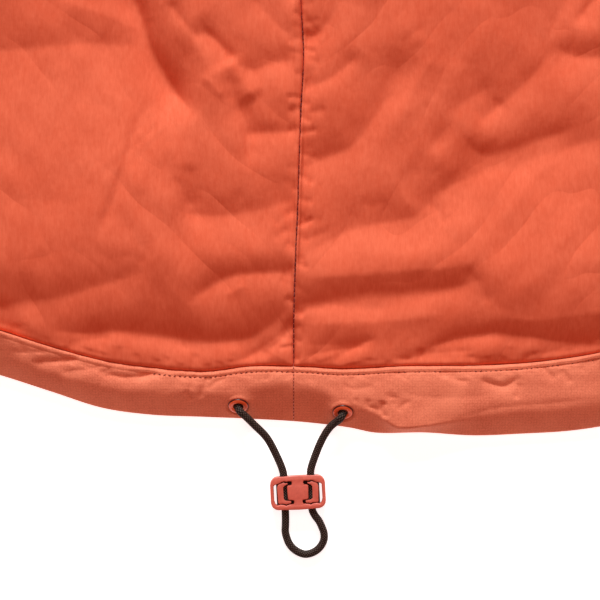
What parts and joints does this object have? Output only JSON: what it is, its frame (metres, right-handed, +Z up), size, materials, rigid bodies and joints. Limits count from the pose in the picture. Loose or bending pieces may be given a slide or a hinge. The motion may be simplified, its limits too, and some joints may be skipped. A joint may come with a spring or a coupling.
{
  "type": "padded winter jacket",
  "caption": "Padded jacket lying flat, back up: satin shell with a centre back seam, ripstop hem casing with eyelets, drawcord and cord lock, stand collar, long sleeves and front zip.",
  "frame": {"origin": "on the table under the middle of the laid-out garment's box, cord and lock left out", "axes": "+X across the back to the wearer's right, +Y from the hem to the collar, +Z up from the table"},
  "size_m": [1.275, 0.8326, 0.0212],
  "materials": {
    "shell": "satin",
    "ripstop": "matte",
    "eyelet": "satin",
    "lock": "satin",
    "cord": "matte",
    "tape": "matte",
    "metal": "satin"
  },
  "bodies": {
    "garment": {"back_left": "shell", "back_right": "shell", "front_left": "shell", "front_right": "shell", "sleeve_left": "shell", "sleeve_right": "shell", "collar": "shell", "hem_band_back_left": "ripstop", "hem_band_back_right": "ripstop", "hem_band_front_left": "ripstop", "hem_band_front_right": "ripstop", "cuff_left": "ripstop", "cuff_right": "ripstop", "eyelet_left": "eyelet", "eyelet_right": "eyelet", "drawcord": "cord", "cord_lock_frame": "lock", "cord_lock_jaw_left": "lock", "cord_lock_jaw_right": "lock", "zip_tape_left": "tape", "zip_tape_right": "tape", "zip_chain": "tape", "zip_slider": "metal"},
    "pull": {"zip_pull": "metal"}
  },
  "joints": [
    {"name": "zip_pull_hinge", "type": "hinge", "parent": "garment", "child": "pull", "pos_m": [0, 0.3118, 0.0034], "axis": [1, 0, 0], "range_deg": [0, 170]}
  ]
}
